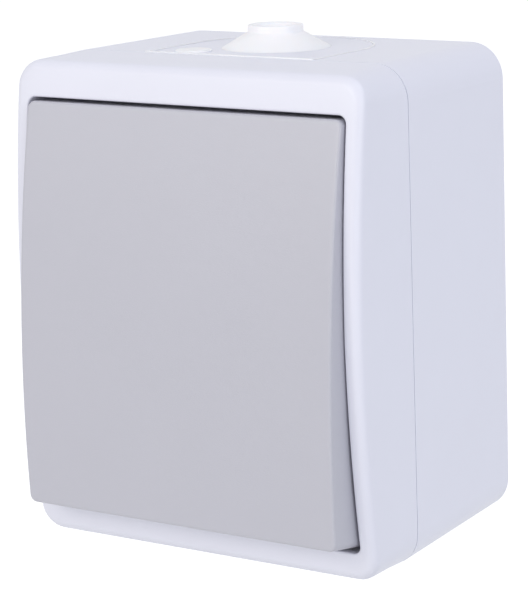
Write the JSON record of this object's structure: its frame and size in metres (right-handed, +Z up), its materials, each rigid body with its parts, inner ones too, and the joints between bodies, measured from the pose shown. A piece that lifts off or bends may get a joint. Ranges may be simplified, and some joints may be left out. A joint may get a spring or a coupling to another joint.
{
  "type": "surface mounted light switch",
  "caption": "Splash proof surface mounted light switch: two-part white case, large grey rocker, soft cable gland on top, snap-action contacts inside.",
  "frame": {"origin": "centre of the rear face, which lies on the wall", "axes": "+Z up, +Y into the wall, +X to the right of somebody who looks at the switch"},
  "size_m": [0.064, 0.0503, 0.0814],
  "materials": {
    "case_white": "satin moulded",
    "cover_white": "satin moulded",
    "entry_plate_white": "satin moulded",
    "gland_soft_white": "soft translucent",
    "gasket_rubber": "matt",
    "rocker_grey": "fine satin grain",
    "seal_rubber": "matt",
    "toggle_grey": "satin",
    "plunger_white": "smooth",
    "spring_steel": "drawn wire",
    "screw_steel": "zinc plated",
    "insert_plastic": "satin",
    "bridge_plastic": "satin",
    "contact_copper": "stamped strip",
    "terminal_brass": "stamped strip",
    "cage_brass": "folded strip",
    "clamp_steel": "zinc plated",
    "contact_silver": "dull silver"
  },
  "bodies": {
    "housing": {"base_housing": "case_white", "cover_frame": "cover_white", "case_gasket": "gasket_rubber", "gland_plate": "entry_plate_white", "cable_gland": "gland_soft_white", "cover_screws": "screw_steel", "rocker_seal": "seal_rubber", "insert_body": "insert_plastic", "insert_cover": "bridge_plastic", "insert_screws": "screw_steel", "common_terminal": "terminal_brass", "upper_terminal": "terminal_brass", "lower_terminal": "terminal_brass", "fixed_contacts": "contact_silver", "terminal_cages": "cage_brass", "clamp_plates": "clamp_steel", "terminal_screws": "screw_steel"},
    "rocker_key": {"rocker": "rocker_grey", "toggle": "toggle_grey", "plunger_spring": "spring_steel"},
    "plunger_pin": {"plunger": "plunger_white"},
    "seesaw": {"contact_rocker": "contact_copper", "moving_contacts": "contact_silver"}
  },
  "joints": [
    {"name": "rocker_hinge", "type": "hinge", "parent": "housing", "child": "rocker_key", "pos_m": [0, -0.0395, 0], "axis": [1, 0, 0], "range_deg": [0, 9.08], "deforming": ["rocker_seal"]},
    {"name": "plunger_slide", "type": "slide", "parent": "rocker_key", "child": "plunger_pin", "axis": [0, -0.9969, 0.0792], "range_m": [0, 0.0008], "stiffness_N_per_m": 400, "springref_m": -0.004, "deforming": ["plunger_spring"]},
    {"name": "seesaw_hinge", "type": "hinge", "parent": "housing", "child": "seesaw", "pos_m": [0, -0.023, 0], "axis": [1, 0, 0], "range_deg": [-14.01, 0]}
  ],
  "couplings": [
    {"joint": "seesaw_hinge", "follows": "rocker_hinge", "ratio": -1.5419}
  ]
}
